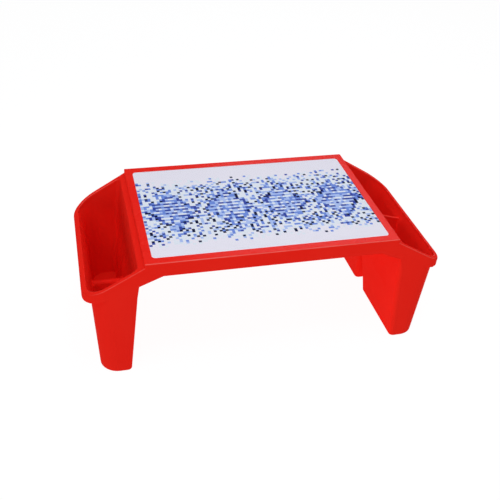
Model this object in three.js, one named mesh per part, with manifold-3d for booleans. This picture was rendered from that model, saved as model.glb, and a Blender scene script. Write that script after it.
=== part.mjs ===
// A lap desk: a flat desk top with a printed sheet in its recess, carried at each end by a deep
// side pocket whose two wells run down to the floor as hollow tapered legs. A low saddle parts the
// wells of the left pocket, and a tall divider those of the right one.
// Millimetres, +Z up. X runs along the length, the front is at -Y, and the origin is on the floor
// under the middle of the desk.
import * as THREE from 'three';
import { mergeVertices } from 'three/addons/utils/BufferGeometryUtils.js';
import Module from 'manifold-3d';

// Desk top
const DESK_LENGTH = 385;
const DESK_DEPTH = 273;
const DESK_HEIGHT = 207;
const PANEL_THICKNESS = 3.75;
const SIDE_DROP = 12;
const WALL = 2.6;

// Recess in the desk top and the layers that fill it
const RECESS_SIDE_MARGIN = 12;
const RECESS_FRONT_MARGIN = 13.5;
const RECESS_BACK_MARGIN = 14.75;
const RECESS_DEPTH = 1.25;
const RECESS_CORNER = 6;
const SHEET_CLEARANCE = 0.3;
const ADHESIVE_THICKNESS = 0.25;
const PRINT_THICKNESS = 0.5;
const FILM_THICKNESS = 0.25;

// Skirt: the front and back walls lean inwards, and their lower edge slopes down near the pockets
const SKIRT_DRAFT = 2.5;
const APRON_HEIGHT = 24.5;
const SLOPE_START = 26.5;

// Side pockets
const POCKET_LENGTH = 89;
const RIM_STEP = 7;
const RIM_DROP = 60;
const RIM_WIDTH = 8;
const RIM_THICKNESS = 3;
const RIM_CORNER = 36;
const LEDGE_WIDTH = 7.5;
const LIP_HEIGHT = 14.5;
const LIP_OVERHANG = 12.7;
const DIVIDER_DROP = 48;
const DIVIDER_FALL = 24;
const DIVIDER_THICKNESS = 2.6;

// Legs and the notch between the front and the back leg
const INNER_LEAN = 5;
const OUTER_LEAN = 2.9;
const OUTER_CORNER = 28;
const INNER_CORNER = 7;
const CORNER_FADE = 25;
const CREASE = 0.2;
const FOOT_THICKNESS = 3;
const NOTCH_OFFSET = 19;
const NOTCH_WIDTH = 32;
const NOTCH_TOP_WIDTH = 6;
const NOTCH_HEIGHT = 64;

// Fineness of the rounded corners, and how far a cutter runs past what it cuts
const ARC_STEPS = 8;
const MARGIN = 5;

const wasm = await Module();
wasm.setup();

const slope = (degrees) => Math.tan(THREE.MathUtils.degToRad(degrees));

// Levels and places that several pieces share
const deskSide = DESK_LENGTH / 2;
const lipX = deskSide + POCKET_LENGTH;
const panelBottom = DESK_HEIGHT - PANEL_THICKNESS;
const recessFloor = DESK_HEIGHT - RECESS_DEPTH;
const printBottom = recessFloor + ADHESIVE_THICKNESS;
const filmBottom = printBottom + PRINT_THICKNESS;
const filmTop = filmBottom + FILM_THICKNESS;
const apronBottom = DESK_HEIGHT - APRON_HEIGHT;
const lipTop = DESK_HEIGHT - RIM_DROP;
const lipBottom = lipTop - LIP_HEIGHT;
const dividerTop = DESK_HEIGHT - DIVIDER_DROP;

// Wall faces at a height, for the end at +X: half the depth over the skirt, the lap side and the
// outer side of a leg
const halfDepth = (z) => DESK_DEPTH / 2 - (DESK_HEIGHT - z) * slope(SKIRT_DRAFT);
const innerFace = (z) => deskSide + LEDGE_WIDTH - WALL + (DESK_HEIGHT - z) * slope(INNER_LEAN);
const outerFace = (z) => lipX - LIP_OVERHANG - (lipBottom - z) * slope(OUTER_LEAN);

// Slanted lines in side view: the top of the pocket rim, the lower edge of the skirt and the lip, and
// the top edge of the divider
const line = (xa, za, xb, zb) => (x) => za + ((x - xa) * (zb - za)) / (xb - xa);
const rimTop = line(deskSide, DESK_HEIGHT - RIM_STEP, lipX, lipTop);
const slopeStartX = deskSide - SLOPE_START;
const skirtEdge = line(slopeStartX, apronBottom, lipX, lipBottom);
const dividerEdge = line(deskSide, dividerTop, lipX, dividerTop - DIVIDER_FALL);

// Height at which the lap side of a leg runs into the lower edge of the skirt
const fall = skirtEdge(0) - skirtEdge(1);
const gusset = skirtEdge(innerFace(0)) / (1 - fall * slope(INNER_LEAN));

// Inner faces of a pocket and its wells at a height: the front and back walls thicken up to the rim,
// and the outer wall flares out under the rim
const thickening = line(0, WALL, DESK_HEIGHT, RIM_WIDTH);
const insideDepth = (z) => halfDepth(z) - thickening(z);
const flare = (z) => THREE.MathUtils.clamp((z - lipBottom) / LIP_HEIGHT, 0, 1);
const blend = (z, below, above) => below + flare(z) * (above - below);
const insideOuter = (z) => blend(z, outerFace(z) - WALL, lipX - RIM_WIDTH);
const insideCorner = (z) => blend(z, OUTER_CORNER - WALL, RIM_CORNER - RIM_WIDTH);

// Turns a closed geometry into a solid that can be joined and cut
function solidOf(geometry) {
  geometry.deleteAttribute('normal');
  geometry.deleteAttribute('uv');
  const merged = mergeVertices(geometry);
  const vertProperties = new Float32Array(merged.attributes.position.array);
  const triVerts = new Uint32Array(merged.index.array);
  return new wasm.Manifold(new wasm.Mesh({ numProp: 3, vertProperties, triVerts }));
}

// Outline of a rectangle seen from above, counter-clockwise, with a radius for each corner in the
// order near-left, near-right, far-right, far-left
const squareCorners = [0, 0, 0, 0];
function roundedRectangle(x0, x1, y0, y1, radii) {
  const corners = [[x0, y0, 1, 1], [x1, y0, -1, 1], [x1, y1, -1, -1], [x0, y1, 1, -1]];
  return corners.flatMap(([x, y, inX, inY], corner) => {
    const radius = radii[corner];
    if (radius === 0) return [new THREE.Vector2(x, y)];
    const start = Math.PI * (1 + corner / 2);
    return Array.from({ length: ARC_STEPS + 1 }, (_, step) => {
      const angle = start + (Math.PI / 2) * (step / ARC_STEPS);
      return new THREE.Vector2(
        x + inX * radius + radius * Math.cos(angle),
        y + inY * radius + radius * Math.sin(angle),
      );
    });
  });
}

// Closed solid through like outlines at rising levels, where outlineAt gives the one at each level
function loft(levels, outlineAt) {
  const rings = levels.map(outlineAt);
  const count = rings[0].length;
  const position = rings.flatMap((ring, level) => (
    ring.flatMap((point) => [point.x, point.y, levels[level]])));
  const index = [];
  for (let low = 0; low < count * (levels.length - 1); low += count) {
    for (let i = 0; i < count; i += 1) {
      const next = (i + 1) % count;
      index.push(low + i, low + next, low + count + next);
      index.push(low + i, low + count + next, low + count + i);
    }
  }
  const top = count * (levels.length - 1);
  for (let i = 1; i < count - 1; i += 1) {
    index.push(0, i + 1, i);
    index.push(top, top + i, top + i + 1);
  }
  const geometry = new THREE.BufferGeometry();
  geometry.setAttribute('position', new THREE.Float32BufferAttribute(position, 3));
  geometry.setIndex(index);
  return solidOf(geometry);
}

// Solid with a side-view outline in X and Z that runs across the whole depth and a little past it
function acrossDepth(points) {
  const shape = new THREE.Shape(points.map(([x, z]) => new THREE.Vector2(x, z)));
  const reach = DESK_DEPTH / 2 + MARGIN;
  const geometry = new THREE.ExtrudeGeometry(shape, { depth: 2 * reach, bevelEnabled: false });
  const alongY = new THREE.Matrix4().makeBasis(
    new THREE.Vector3(1, 0, 0),
    new THREE.Vector3(0, 0, 1),
    new THREE.Vector3(0, -1, 0),
  );
  geometry.applyMatrix4(alongY.setPosition(0, reach, 0));
  return solidOf(geometry);
}

// Everything at one end that lies under, or over, a slanted plane
const endNear = deskSide - MARGIN;
const endFar = lipX + MARGIN;
function under(plane) {
  return acrossDepth([
    [endNear, -MARGIN], [endFar, -MARGIN], [endFar, plane(endFar)], [endNear, plane(endNear)],
  ]);
}
function over(plane) {
  const ceiling = DESK_HEIGHT + MARGIN;
  return acrossDepth([
    [endNear, plane(endNear)], [endFar, plane(endFar)], [endFar, ceiling], [endNear, ceiling],
  ]);
}

// One body of the assembly, from a solid; mirrored bodies are flipped to the end at -X
function bodyMesh(name, solid, material, mirrored = false) {
  const { vertProperties, triVerts } = solid.getMesh();
  const position = Float32Array.from(vertProperties);
  const index = Array.from(triVerts);
  if (mirrored) {
    for (let i = 0; i < position.length; i += 3) position[i] = -position[i];
    index.reverse();
  }
  const geometry = new THREE.BufferGeometry();
  geometry.setAttribute('position', new THREE.BufferAttribute(position, 3));
  geometry.setIndex(index);
  geometry.computeVertexNormals();
  const mesh = new THREE.Mesh(geometry, material);
  mesh.name = name;
  return mesh;
}

// Desk top: a panel with a shallow recess, on two short side walls
function deskTop() {
  const panel = loft([panelBottom, DESK_HEIGHT], (z) => (
    roundedRectangle(-deskSide, deskSide, -halfDepth(z), halfDepth(z), squareCorners)));
  const recess = loft([recessFloor, DESK_HEIGHT + MARGIN], () => recessOutline(0));
  const sideWall = (x0, x1) => loft([DESK_HEIGHT - SIDE_DROP, panelBottom], (z) => (
    roundedRectangle(x0, x1, WALL - halfDepth(z), halfDepth(z) - WALL, squareCorners)));
  return panel
    .subtract(recess)
    .add(sideWall(-deskSide, WALL - deskSide))
    .add(sideWall(deskSide - WALL, deskSide));
}

// Outline of the recess, drawn in by a clearance for the layers that lie in it
function recessOutline(clearance) {
  return roundedRectangle(
    RECESS_SIDE_MARGIN + clearance - deskSide,
    deskSide - RECESS_SIDE_MARGIN - clearance,
    RECESS_FRONT_MARGIN + clearance - DESK_DEPTH / 2,
    DESK_DEPTH / 2 - RECESS_BACK_MARGIN - clearance,
    Array(4).fill(RECESS_CORNER - clearance),
  );
}

function recessLayer(bottom, top) {
  return loft([bottom, top], () => recessOutline(SHEET_CLEARANCE));
}

// Apron: the wall under the front or back edge of the desk top, side being -1 or 1 along Y
function apron(side) {
  const wall = loft([lipBottom, panelBottom], (z) => {
    const faces = [side * halfDepth(z), side * (halfDepth(z) - WALL)].sort((a, b) => a - b);
    return roundedRectangle(-deskSide, deskSide, ...faces, squareCorners);
  });
  const sideView = acrossDepth([
    [-deskSide - MARGIN, skirtEdge(deskSide + MARGIN)],
    [-slopeStartX, apronBottom],
    [slopeStartX, apronBottom],
    [deskSide + MARGIN, skirtEdge(deskSide + MARGIN)],
    [deskSide + MARGIN, DESK_HEIGHT],
    [-deskSide - MARGIN, DESK_HEIGHT],
  ]);
  return wall.intersect(sideView);
}

// Radius of an inner corner of a leg at a height: it fades to a crease at the given end of the corner,
// where the leg runs into the skirt or the notch closes
function innerCorner(z, end) {
  const faded = THREE.MathUtils.clamp((z - (end - CORNER_FADE)) / CORNER_FADE, 0, 1);
  return INNER_CORNER + faded * (CREASE - INNER_CORNER);
}
const skirtCorner = (z) => innerCorner(z, gusset);
const notchCorner = (z) => innerCorner(z, NOTCH_HEIGHT);

// The notch between the legs narrows upwards
const notchHalfWidth = line(0, NOTCH_WIDTH / 2, NOTCH_HEIGHT, NOTCH_TOP_WIDTH / 2);

// Plans at a height, from y0 to y1: the outside of a leg, with the corners towards the notch given,
// and the inside of a pocket or a well
function legOutline(z, y0, y1, near, far) {
  return roundedRectangle(innerFace(z), outerFace(z), y0, y1, [...near, ...far]);
}
function insideOutline(z, y0, y1, near, far) {
  return roundedRectangle(innerFace(z) + WALL, insideOuter(z), y0, y1, [...near, ...far]);
}

// Leg: a hollow tapered foot that is closed at the floor and open towards the pocket above it, side
// being -1 for the front leg and 1 for the back leg
function leg(side) {
  const outside = loft([0, NOTCH_HEIGHT - CORNER_FADE, NOTCH_HEIGHT], (z) => {
    const notch = [notchCorner(z), notchCorner(z)];
    const gap = notchHalfWidth(z);
    return side < 0
      ? legOutline(z, -halfDepth(z), NOTCH_OFFSET - gap, [skirtCorner(z), OUTER_CORNER], notch)
      : legOutline(z, NOTCH_OFFSET + gap, halfDepth(z), notch, [OUTER_CORNER, skirtCorner(z)]);
  });
  const hollow = loft([FOOT_THICKNESS, NOTCH_HEIGHT], (z) => {
    const gap = notchHalfWidth(z) + WALL;
    const notch = [INNER_CORNER, INNER_CORNER];
    return side < 0
      ? insideOutline(z, -insideDepth(z), NOTCH_OFFSET - gap, [INNER_CORNER, insideCorner(z)], notch)
      : insideOutline(z, NOTCH_OFFSET + gap, insideDepth(z), notch, [insideCorner(z), INNER_CORNER]);
  });
  return outside.subtract(hollow);
}

// Wall across a pocket over the notch, narrowing from the leg walls beside it up to its own top; its
// ends reach halfway into the walls of the pocket
function crossWall(top, thickness) {
  const halfWidth = line(NOTCH_HEIGHT, NOTCH_TOP_WIDTH / 2 + WALL, top, thickness / 2);
  const levels = [NOTCH_HEIGHT, lipBottom, lipTop].filter((z) => z < top);
  return loft([...levels, top], (z) => roundedRectangle(
    innerFace(z) + WALL / 2, insideOuter(z) + WALL / 2,
    NOTCH_OFFSET - halfWidth(z), NOTCH_OFFSET + halfWidth(z), squareCorners));
}

// Pocket: the walls over a pair of legs, with a slanted rim, an overhanging lip and a cross wall
function pocket(partition) {
  const levels = [NOTCH_HEIGHT, gusset - CORNER_FADE, gusset, DESK_HEIGHT];
  const legWalls = loft(levels, (z) => legOutline(
    z, -halfDepth(z), halfDepth(z), [skirtCorner(z), OUTER_CORNER], [OUTER_CORNER, skirtCorner(z)]));
  const collar = loft([NOTCH_HEIGHT, DESK_HEIGHT], (z) => roundedRectangle(
    deskSide, lipX, -halfDepth(z), halfDepth(z), [0, RIM_CORNER, RIM_CORNER, 0]));
  const outside = legWalls.add(collar.intersect(over(skirtEdge))).intersect(under(rimTop));

  const lapSide = loft([NOTCH_HEIGHT, DESK_HEIGHT], (z) => roundedRectangle(
    endNear, innerFace(z), WALL - halfDepth(z), halfDepth(z) - WALL, squareCorners));
  const underLedge = lapSide.intersect(under((x) => rimTop(x) - RIM_THICKNESS));

  const inside = loft([NOTCH_HEIGHT, lipBottom, lipTop, DESK_HEIGHT], (z) => insideOutline(
    z, -insideDepth(z), insideDepth(z), [INNER_CORNER, insideCorner(z)], [insideCorner(z), INNER_CORNER]));
  return outside.subtract(underLedge).subtract(inside).add(partition);
}

const redPlastic = new THREE.MeshStandardMaterial({ color: 0xd51c16, roughness: 0.35, metalness: 0 });
const printedCard = new THREE.MeshStandardMaterial({ color: 0xb9c4e6, roughness: 0.6, metalness: 0 });
const adhesive = new THREE.MeshStandardMaterial({ color: 0xe8e4d8, roughness: 0.8, metalness: 0 });
const clearFilm = new THREE.MeshStandardMaterial({
  color: 0xf4f5fa, roughness: 0.2, metalness: 0, transparent: true, opacity: 0.3,
});

const lapDesk = new THREE.Group();
lapDesk.add(bodyMesh('desk_top', deskTop(), redPlastic));
lapDesk.add(bodyMesh('front_apron', apron(-1), redPlastic));
lapDesk.add(bodyMesh('back_apron', apron(1), redPlastic));

const saddle = crossWall(NOTCH_HEIGHT + WALL, NOTCH_TOP_WIDTH);
const divider = crossWall(dividerTop, DIVIDER_THICKNESS).intersect(under(dividerEdge));
const frontLeg = leg(-1);
const backLeg = leg(1);
for (const [end, mirrored, partition] of [['left', true, saddle], ['right', false, divider]]) {
  lapDesk.add(bodyMesh(`${end}_pocket`, pocket(partition), redPlastic, mirrored));
  lapDesk.add(bodyMesh(`${end}_front_leg`, frontLeg, redPlastic, mirrored));
  lapDesk.add(bodyMesh(`${end}_back_leg`, backLeg, redPlastic, mirrored));
}

lapDesk.add(bodyMesh('adhesive_film', recessLayer(recessFloor, printBottom), adhesive));
lapDesk.add(bodyMesh('printed_sheet', recessLayer(printBottom, filmBottom), printedCard));
lapDesk.add(bodyMesh('clear_film', recessLayer(filmBottom, filmTop), clearFilm));

export default lapDesk;
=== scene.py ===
"""Looks of a red moulded lap desk with a printed sheet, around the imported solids. Metres, +Z up."""
import math

import bmesh
import bpy
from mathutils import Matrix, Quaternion, Vector


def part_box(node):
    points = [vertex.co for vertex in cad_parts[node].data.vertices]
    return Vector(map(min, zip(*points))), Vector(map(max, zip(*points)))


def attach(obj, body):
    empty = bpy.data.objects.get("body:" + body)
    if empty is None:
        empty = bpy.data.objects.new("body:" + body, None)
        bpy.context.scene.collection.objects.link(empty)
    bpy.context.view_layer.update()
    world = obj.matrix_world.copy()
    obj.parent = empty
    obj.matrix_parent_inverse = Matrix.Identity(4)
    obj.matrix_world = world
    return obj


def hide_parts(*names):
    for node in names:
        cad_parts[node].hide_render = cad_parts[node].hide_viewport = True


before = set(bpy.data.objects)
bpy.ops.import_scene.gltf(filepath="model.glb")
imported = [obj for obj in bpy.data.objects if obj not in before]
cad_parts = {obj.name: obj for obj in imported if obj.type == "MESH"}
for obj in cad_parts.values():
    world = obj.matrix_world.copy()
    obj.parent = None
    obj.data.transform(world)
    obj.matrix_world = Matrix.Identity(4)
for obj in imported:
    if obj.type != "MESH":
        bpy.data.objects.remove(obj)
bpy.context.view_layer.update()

MM = 0.001
LAYERS = ("adhesive_film", "printed_sheet", "clear_film")
SECTIONS = [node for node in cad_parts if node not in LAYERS]

# Camera, from the photograph's perspective: metres, degrees and pixels of a 500 pixel wide picture
EYE = Vector((-0.2798, -0.9493, 0.8187))
TARGET = Vector((-0.0392, -0.1257, 0.2069))
ROLL = 4.02
FOCAL_PIXELS = 729.5
PICTURE_PIXELS = 500
SENSOR = 36.0

# Floor, and a sky that is brighter at the horizon and dims with the upward part of a direction
FLOOR_HALF = 40.0
FLOOR_GAP = 0.1 * MM
FLOOR_COLOUR = (0.06, 0.06, 0.06, 1)
FLOOR_GLOW = 0.97
SKY_SLOPES = (0.0, 0.13)
SKY_GLOWS = (0.97, 0.05)
WHITE = (1, 1, 1, 1)

# Lights, in metres and watts
LIGHT_COLOUR = (0.96, 0.98, 1.07)
LIGHTS = {
    "top": {"place": (0.5, 0.0, 1.95), "aim": (0.1, 0.0, 0.2), "size": (1.4, 1.6), "watts": 14},
    "key": {"place": (-0.9, -0.7, 1.95), "aim": (0.0, 0.0, 0.15), "size": (1.4, 1.4), "watts": 18.5},
    "edge": {"place": (0.0, -0.6, 1.7), "aim": (0.0, 0.0, 0.2), "size": (0.06, 0.06), "watts": 2},
    "back": {"place": (0.75, 1.6, 1.4), "aim": (0.0, 0.0, 0.2), "size": (1.0, 0.6), "watts": 5},
}

# Radii of the moulding's rounded edges
DESK_EDGE_RADIUS = 1.7 * MM
DESK_SIDE_RADIUS = 1.4 * MM
RECESS_RADIUS = 0.25 * MM
RIM_RADIUS = 1.8 * MM
SADDLE_RADIUS = 2.4 * MM
FOOT_RADIUS = 1.6 * MM
PLAIN_RADIUS = 0.9 * MM
FILLET_SEGMENTS = 4

# How the moulding's edges and faces are told apart, with slopes as the upward part of a face's normal
LEVEL_MARGIN = 0.2 * MM
SADDLE_WALL = 2.6 * MM
LIP_LEVEL = 100 * MM
LIP_TIP_WIDTH = 4 * MM
RIM_SLOPES = (0.8, 0.92)
UNDERSIDE_SLOPE = -0.5
SHARP_ANGLE = math.radians(32)
FLAT_ANGLE = math.radians(0.8)
FLAT_FACE_WEIGHT = 100

# Distances within which vertices merge: in one solid, in the joined body, at its cuts, and once rounded
SOLID_WELD = 0.001 * MM
JOINED_WELD = 0.25 * MM
CUT_WELD = 0.01 * MM
ROUNDED_WELD = 0.02 * MM

# Red plastic: its tones, its roughness, and its gloss from sides to faces that look up
RED_DEEP = (0.965, 0.019, 0.011)
RED_BRIGHT = (0.98, 0.023, 0.013)
RED_ROUGHNESS = (0.24, 0.32)
RED_GLOSS = (0.0005, 0.08)
GLOSS_SLOPES = (0.9, 0.99)

# Painted highlight: pale, patchy colour on the plastic's rounded edges, full around the top and less on
# the rims
RED_PAINTED_HIGHLIGHT = (0.98, 0.16, 0.13, 1)
HIGHLIGHT_DEPTH = 2.2 * MM
HIGHLIGHT_ON_RIMS = 0.5
HIGHLIGHT_SLANTS = (0.2, 0.4)
HIGHLIGHT_CLOUDS = (0.3, 0.6)
HIGHLIGHT_IN_PATCHES = (0.5, 1)

# Printed mosaic: sizes in cells, the share of cells left at its edges, and the shift to other chances
PRINT_CELL = 4.5 * MM
PRINT_MIDDLE = -2
PRINT_REACH = 20
PRINT_FADE = 5
PRINT_EDGE_SHARE = 0.2
SECOND_DRAW = (61, 37, 0)
DIAMOND_REPEAT = 20
DIAMOND_HALF = 9
DIAMOND_BORDER = 1.6
DIAMOND_SLOPE = 0.7

# Depth of the mosaic's ink from 0 to 1, and the colours from the barest cell to the most inked one
SCATTER_INK = 0.62
SCATTER_DARKER = 0.35
STRIPE_INK = 0.25
STRIPE_DARKER = 0.2
STRIPE_SPREAD = 0.3
BORDER_INK = 0.44
BORDER_SPREAD = 0.38
PRINT_COLOURS = [
    (0.0, (0.985, 0.955, 1.0)),
    (0.015, (0.91, 0.96, 1.0)),
    (0.40, (0.50, 0.64, 0.97)),
    (0.52, (0.19, 0.32, 0.80)),
    (0.64, (0.045, 0.08, 0.42)),
    (0.76, (0.003, 0.006, 0.05)),
]


def corners(nodes):
    """Lowest and highest corner of several solids together."""
    boxes = [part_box(node) for node in nodes]
    low = Vector(min(box[0][axis] for box in boxes) for axis in range(3))
    high = Vector(max(box[1][axis] for box in boxes) for axis in range(3))
    return low, high


body_low, body_high = corners(SECTIONS)
desk_low, desk_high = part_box("desk_top")
pocket_middle = (desk_high.x + body_high.x) / 2
saddle_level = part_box("left_pocket")[0].z + SADDLE_WALL


# Camera, floor and lights

def make_camera():
    data = bpy.data.cameras.new("camera")
    data.sensor_width = SENSOR
    data.lens = FOCAL_PIXELS / PICTURE_PIXELS * SENSOR
    camera = bpy.data.objects.new("camera", data)
    camera.location = EYE
    camera.rotation_mode = "QUATERNION"
    aim = (TARGET - EYE).to_track_quat("-Z", "Y")
    camera.rotation_quaternion = aim @ Quaternion((0, 0, 1), math.radians(ROLL))
    bpy.context.scene.collection.objects.link(camera)
    bpy.context.scene.camera = camera


def make_floor():
    mesh = bpy.data.meshes.new("floor")
    square = [(-1, -1), (1, -1), (1, 1), (-1, 1)]
    mesh.from_pydata([(x * FLOOR_HALF, y * FLOOR_HALF, 0) for x, y in square], [], [(0, 1, 2, 3)])
    floor = bpy.data.objects.new("floor", mesh)
    floor.location.z = body_low.z - FLOOR_GAP
    bpy.context.scene.collection.objects.link(floor)
    nodes = Nodes("floor")
    nodes.set(Base_Color=FLOOR_COLOUR, Roughness=0.9, Specular_IOR_Level=0.0)
    nodes.set(Emission_Color=WHITE, Emission_Strength=FLOOR_GLOW)
    mesh.materials.append(nodes.material)


def make_sky():
    world = bpy.data.worlds.new("studio")
    world.use_nodes = True
    nodes, links = world.node_tree.nodes, world.node_tree.links
    direction = nodes.new("ShaderNodeSeparateXYZ")
    links.new(nodes.new("ShaderNodeTexCoord").outputs["Generated"], direction.inputs["Vector"])
    fade = nodes.new("ShaderNodeMapRange")
    fade.inputs["From Min"].default_value, fade.inputs["From Max"].default_value = SKY_SLOPES
    fade.inputs["To Min"].default_value, fade.inputs["To Max"].default_value = SKY_GLOWS
    links.new(direction.outputs["Z"], fade.inputs["Value"])
    links.new(fade.outputs["Result"], nodes["Background"].inputs["Strength"])
    nodes["Background"].inputs["Color"].default_value = WHITE
    bpy.context.scene.world = world


def make_area_light(name, place, aim, size, watts):
    data = bpy.data.lights.new(name, "AREA")
    data.shape = "RECTANGLE"
    data.size, data.size_y = size
    data.energy = watts
    data.color = LIGHT_COLOUR
    light = bpy.data.objects.new(name, data)
    light.location = place
    light.rotation_mode = "QUATERNION"
    light.rotation_quaternion = (Vector(aim) - Vector(place)).to_track_quat("-Z", "Y")
    bpy.context.scene.collection.objects.link(light)


def make_studio():
    make_camera()
    make_floor()
    make_sky()
    for name, light in LIGHTS.items():
        make_area_light(name, **light)
    bpy.context.scene.view_settings.view_transform = "Standard"


# Materials

class Nodes:
    """Short way to add and join the nodes of one material."""

    def __init__(self, name):
        self.material = bpy.data.materials.new(name)
        self.material.use_nodes = True
        self.tree = self.material.node_tree
        self.shader = self.tree.nodes["Principled BSDF"]

    def put(self, socket, value):
        if isinstance(value, bpy.types.NodeSocket):
            self.tree.links.new(value, socket)
        else:
            socket.default_value = value

    def set(self, **values):
        """Sets inputs of the material's shader, with _ for each space in their names."""
        for name, value in values.items():
            self.put(self.shader.inputs[name.replace("_", " ")], value)

    def add(self, kind, inputs=None, **settings):
        node = self.tree.nodes.new("ShaderNode" + kind)
        for key, value in settings.items():
            setattr(node, key, value)
        for socket, value in (inputs or {}).items():
            self.put(node.inputs[socket], value)
        return node

    def operation(self, kind, name, values):
        node = self.add(kind, operation=name)
        for socket, value in zip(node.inputs, values):
            self.put(socket, value)
        return node.outputs[0]

    def math(self, name, *values):
        return self.operation("Math", name, values)

    def vector_math(self, name, *values):
        return self.operation("VectorMath", name, values)

    def place(self):
        return self.add("TexCoord").outputs["Object"]

    def parts(self, vector):
        """X, Y and Z of a vector."""
        return self.add("SeparateXYZ", {"Vector": vector}).outputs

    def noise(self, place, scale, detail):
        return self.add("TexNoise", {"Vector": place, "Scale": scale, "Detail": detail}).outputs["Fac"]

    def chance(self, cell):
        """A value of its own for each cell."""
        return self.add("TexWhiteNoise", {"Vector": cell}, noise_dimensions="2D").outputs["Value"]

    def map_range(self, value, source, target=(0, 1)):
        """A value brought from one range to another and held at its ends."""
        inputs = {"Value": value, "From Min": source[0], "From Max": source[1]}
        inputs.update({"To Min": target[0], "To Max": target[1]})
        return self.add("MapRange", inputs).outputs["Result"]

    def mix(self, factor, first, second):
        return self.add("Mix", {"Factor": factor, "A": first, "B": second}).outputs["Result"]

    def ramp(self, factor, stops, interpolation="LINEAR"):
        node = self.add("ValToRGB", {"Fac": factor})
        ramp = node.color_ramp
        ramp.interpolation = interpolation
        while len(ramp.elements) < len(stops):
            ramp.elements.new(1)
        for element, (place, colour) in zip(ramp.elements, stops):
            element.position = place
            element.color = (*colour, 1)
        return node.outputs["Color"]

    def bump(self, height, strength, distance):
        inputs = {"Height": height, "Strength": strength, "Distance": distance}
        return self.add("Bump", inputs).outputs["Normal"]


def red_plastic():
    """Satin red, glossier where it faces up, with a painted highlight of pale colour along the rounded
    edges of the top and the rims.
    """
    nodes = Nodes("red_plastic")
    place = nodes.place()
    height = nodes.parts(place)["Z"]
    facing = nodes.parts(nodes.add("NewGeometry").outputs["Normal"])
    cloud = nodes.noise(place, scale=14, detail=3)
    grain = nodes.noise(place, scale=900, detail=2)
    peel = nodes.noise(place, scale=160, detail=1)

    # Mask of the painted highlight: pale colour on the slanted faces of the top's and rims' rounded
    # edges
    on_top = nodes.math("GREATER_THAN", height, desk_high.z - HIGHLIGHT_DEPTH)
    on_rim = nodes.math("GREATER_THAN", height, LIP_LEVEL)
    highlight_reach = nodes.math("MULTIPLY", on_rim, nodes.map_range(on_top, (0, 1), (HIGHLIGHT_ON_RIMS, 1)))
    corner = nodes.math("MULTIPLY", nodes.math("ABSOLUTE", facing["Y"]), facing["Z"])
    on_corner = nodes.map_range(corner, HIGHLIGHT_SLANTS)
    patchy = nodes.map_range(cloud, HIGHLIGHT_CLOUDS, HIGHLIGHT_IN_PATCHES)
    painted_highlight = nodes.math("MULTIPLY", nodes.math("MULTIPLY", highlight_reach, on_corner), patchy)

    plain = nodes.ramp(cloud, [(0.3, RED_DEEP), (0.7, RED_BRIGHT)])
    # The painted highlight is mixed into the red as a pale colour
    colour = nodes.add("MixRGB", {"Fac": painted_highlight, "Color1": plain, "Color2": RED_PAINTED_HIGHLIGHT}).outputs["Color"]
    roughness = nodes.map_range(cloud, (0, 1), RED_ROUGHNESS)
    gloss = nodes.map_range(facing["Z"], GLOSS_SLOPES, RED_GLOSS)
    relief = nodes.math("ADD", nodes.math("MULTIPLY", grain, 0.35), peel)
    bump = nodes.bump(relief, strength=0.02, distance=0.2 * MM)
    nodes.set(Base_Color=colour, Roughness=roughness, Normal=bump)
    nodes.set(IOR=1.49, Specular_IOR_Level=gloss)
    return nodes.material


def scattered_ink(nodes, column, row, chance):
    """Ink of loose cells, of which the dark ones stand only in every second column of a row."""
    row_chance = nodes.add("TexWhiteNoise", {"W": row}, noise_dimensions="1D").outputs["Value"]
    row_shift = nodes.math("GREATER_THAN", row_chance, 0.5)
    dark_square = nodes.math("FLOORED_MODULO", nodes.math("ADD", column, row_shift), 2)
    most = nodes.math("MULTIPLY_ADD", dark_square, SCATTER_DARKER, SCATTER_INK)
    return nodes.math("MULTIPLY", chance, most)


def diamond_ink(nodes, row, steps, chance):
    """Ink of a diamond: a deep blue border around rows that are striped light and dark."""
    stripe = nodes.math("FLOORED_MODULO", row, 2)
    stripe_least = nodes.math("MULTIPLY_ADD", stripe, STRIPE_DARKER, STRIPE_INK)
    striped = nodes.math("MULTIPLY_ADD", chance, STRIPE_SPREAD, stripe_least)
    border = nodes.math("MULTIPLY_ADD", chance, BORDER_SPREAD, BORDER_INK)
    inside = nodes.math("LESS_THAN", steps, DIAMOND_HALF - DIAMOND_BORDER)
    return nodes.mix(inside, border, striped)


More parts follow.
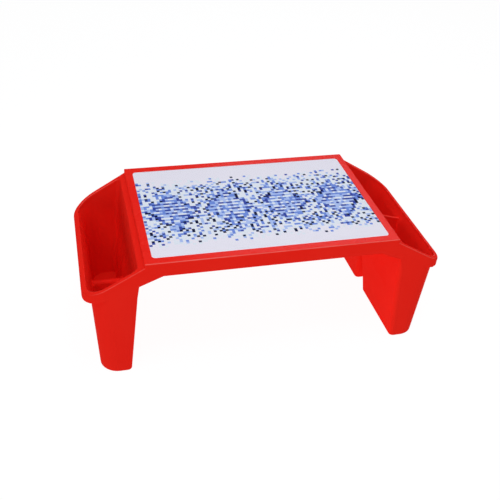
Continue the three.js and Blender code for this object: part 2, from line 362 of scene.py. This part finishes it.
def printed_card():
    """Card with a band of square cells: a row of striped, stepped diamonds among scattered cells."""
    nodes = Nodes("printed_card")
    place = nodes.place()
    cell = nodes.vector_math("FLOOR", nodes.vector_math("DIVIDE", place, (PRINT_CELL, PRINT_CELL, 1)))
    column, row, _ = nodes.parts(cell)
    chance = nodes.chance(cell)
    other_chance = nodes.chance(nodes.vector_math("ADD", cell, SECOND_DRAW))

    half = DIAMOND_REPEAT / 2
    from_diamond = nodes.math("WRAP", nodes.math("ADD", column, half), half, -half)
    across = nodes.math("ABSOLUTE", from_diamond)
    along = nodes.math("ABSOLUTE", nodes.math("SUBTRACT", row, PRINT_MIDDLE))
    steps = nodes.math("ADD", across, nodes.math("MULTIPLY", along, DIAMOND_SLOPE))
    in_diamond = nodes.math("LESS_THAN", steps, DIAMOND_HALF)
    scatter = scattered_ink(nodes, column, row, chance)
    depth = nodes.mix(in_diamond, scatter, diamond_ink(nodes, row, steps, chance))

    # The band thins out to its ragged front and back edges
    kept = nodes.map_range(along, (PRINT_REACH - PRINT_FADE, PRINT_REACH), (1, PRINT_EDGE_SHARE))
    shown = nodes.math("LESS_THAN", other_chance, kept)
    in_band = nodes.math("LESS_THAN", along, PRINT_REACH + 1)
    inked = nodes.math("MULTIPLY", depth, nodes.math("MULTIPLY", shown, in_band))
    colour = nodes.ramp(inked, PRINT_COLOURS, "CONSTANT")
    fibre = nodes.bump(nodes.noise(place, scale=700, detail=2), strength=0.05, distance=0.1 * MM)
    nodes.set(Base_Color=colour, Roughness=0.6, Normal=fibre, Specular_IOR_Level=0.05)
    return nodes.material


def plain_film():
    nodes = Nodes("clear_film")
    nodes.set(Base_Color=(0.1, 0.1, 0.12, 1), Roughness=0.2, Alpha=0.03)
    return nodes.material


def matt_adhesive():
    nodes = Nodes("adhesive")
    speck = nodes.noise(nodes.place(), scale=300, detail=2)
    colour = nodes.ramp(speck, [(0.3, (0.72, 0.70, 0.62)), (0.7, (0.80, 0.78, 0.71))])
    nodes.set(Base_Color=colour, Roughness=0.8)
    return nodes.material


# Moulded body

def copy_of(node):
    """A loose copy of a solid, with the vertices that its faces share merged."""
    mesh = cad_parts[node].data.copy()
    shape = bmesh.new()
    shape.from_mesh(mesh)
    bmesh.ops.remove_doubles(shape, verts=shape.verts, dist=SOLID_WELD)
    shape.to_mesh(mesh)
    shape.free()
    copy = bpy.data.objects.new("section", mesh)
    bpy.context.scene.collection.objects.link(copy)
    return copy


def evaluated_mesh(piece):
    """A mesh of a piece with its modifiers applied."""
    return bpy.data.meshes.new_from_object(piece.evaluated_get(bpy.context.evaluated_depsgraph_get()))


def joined_sections():
    """One seamless mesh of all the sections that the moulding is split into."""
    copies = [copy_of(node) for node in SECTIONS]
    for other in copies[1:]:
        join = copies[0].modifiers.new("join", "BOOLEAN")
        join.operation = "UNION"
        join.solver = "MANIFOLD"
        join.object = other
    mesh = evaluated_mesh(copies[0])
    for copy in copies:
        bpy.data.objects.remove(copy)
    return mesh


def cut_ring_faces(shape):
    """Cuts the faces that run round an opening into simple ones."""
    across, along = Vector((1, 0, 0)), Vector((0, 1, 0))
    for normal, place in [(along, 0), (across, 0), (across, pocket_middle), (across, -pocket_middle)]:
        everything = [*shape.verts, *shape.edges, *shape.faces]
        plane = {"plane_co": normal * place, "plane_no": normal}
        bmesh.ops.bisect_plane(shape, geom=everything, dist=CUT_WELD, **plane)


def is_lip_underside(face):
    middle = face.calc_center_median()
    is_outside = middle.z > LIP_LEVEL and abs(middle.x) > pocket_middle
    return is_outside and face.normal.z < UNDERSIDE_SLOPE


def cut_lip_tips(shape):
    """Splits off the narrow ends of the lips' undersides, where no rounding fits, and returns them."""
    tips = []
    for face in [face for face in shape.faces if is_lip_underside(face)]:
        rounded = {edge for edge in face.edges if edge.is_convex}
        outer = [vert for vert in face.verts if sum(edge in rounded for edge in vert.link_edges) == 2]
        inner = [vert for vert in face.verts if not any(edge in rounded for edge in vert.link_edges)]
        nearest = {vert: min(inner, key=lambda other: (other.co - vert.co).length) for vert in outer}
        wide = [vert for vert in outer if (nearest[vert].co - vert.co).length > LIP_TIP_WIDTH]
        end = min(wide, key=lambda vert: abs(vert.co.x))
        bmesh.utils.face_split(face, end, nearest[end])
        halves = [half for half in end.link_faces if is_lip_underside(half)]
        tips.append(min(halves, key=lambda half: half.calc_area()))
    return tips


def borders_rim(edge):
    """Whether an edge has a sloping rim or the underside of a lip beside it."""
    low, high = RIM_SLOPES
    return any(low < face.normal.z < high or is_lip_underside(face) for face in edge.link_faces)


def edge_radius(edge):
    """Radius of the rounding along one edge of the moulding."""
    if not edge.is_convex or edge.calc_face_angle() < SHARP_ANGLE:
        return 0
    middle = (edge.verts[0].co + edge.verts[1].co) / 2
    if middle.z > desk_high.z - LEVEL_MARGIN:
        if abs(middle.y) > desk_high.y - LEVEL_MARGIN:
            return DESK_EDGE_RADIUS
        if abs(middle.x) > desk_high.x - LEVEL_MARGIN:
            return DESK_SIDE_RADIUS
        return RECESS_RADIUS
    if middle.z < body_low.z + LEVEL_MARGIN:
        return FOOT_RADIUS
    if middle.z > desk_low.z and abs(abs(middle.x) - desk_high.x) < LEVEL_MARGIN:
        return DESK_SIDE_RADIUS
    if borders_rim(edge):
        return RIM_RADIUS
    if all(abs(vert.co.z - saddle_level) < LEVEL_MARGIN for vert in edge.verts):
        return SADDLE_RADIUS
    return PLAIN_RADIUS


def set_edge_radii(mesh):
    """Joins flat faces, and gives each edge its radius as a weight for the rounding."""
    shape = bmesh.new()
    shape.from_mesh(mesh)
    bmesh.ops.remove_doubles(shape, verts=shape.verts, dist=JOINED_WELD)
    bmesh.ops.dissolve_limit(shape, angle_limit=FLAT_ANGLE, verts=shape.verts, edges=shape.edges)
    cut_ring_faces(shape)
    weight = shape.edges.layers.float.new("bevel_weight_edge")
    tip_edges = {edge for tip in cut_lip_tips(shape) for edge in tip.edges}
    for edge in shape.edges:
        edge[weight] = 0 if edge in tip_edges else edge_radius(edge) / DESK_EDGE_RADIUS
    shape.to_mesh(mesh)
    shape.free()


def rounded_mesh(mesh):
    """The mesh with its outward edges rounded."""
    set_edge_radii(mesh)
    piece = bpy.data.objects.new("edges", mesh)
    bpy.context.scene.collection.objects.link(piece)
    round_off = piece.modifiers.new("round_off", "BEVEL")
    round_off.limit_method = "WEIGHT"
    round_off.width = DESK_EDGE_RADIUS
    round_off.segments = FILLET_SEGMENTS
    round_off.use_clamp_overlap = False
    rounded = evaluated_mesh(piece)
    bpy.data.objects.remove(piece)
    return rounded


def smooth_mesh(mesh):
    """Merges what the rounding brought together, and shades all but the creases smooth."""
    shape = bmesh.new()
    shape.from_mesh(mesh)
    bmesh.ops.remove_doubles(shape, verts=shape.verts, dist=ROUNDED_WELD)
    for edge in shape.edges:
        edge.smooth = edge.calc_face_angle() < SHARP_ANGLE
    for face in shape.faces:
        face.smooth = True
    shape.to_mesh(mesh)
    shape.free()


def make_moulded_body():
    mesh = rounded_mesh(joined_sections())
    smooth_mesh(mesh)
    mesh.materials.clear()
    mesh.materials.append(red_plastic())
    body = bpy.data.objects.new("moulded_body", mesh)
    bpy.context.scene.collection.objects.link(body)
    shading = body.modifiers.new("shading", "WEIGHTED_NORMAL")
    shading.weight = FLAT_FACE_WEIGHT
    shading.keep_sharp = True
    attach(body, "root")
    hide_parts(*SECTIONS)


def dress(node, material):
    """Gives a solid that stays as it is its own material."""
    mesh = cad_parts[node].data
    mesh.materials.clear()
    mesh.materials.append(material)


make_studio()
make_moulded_body()
dress("adhesive_film", matt_adhesive())
dress("printed_sheet", printed_card())
dress("clear_film", plain_film())
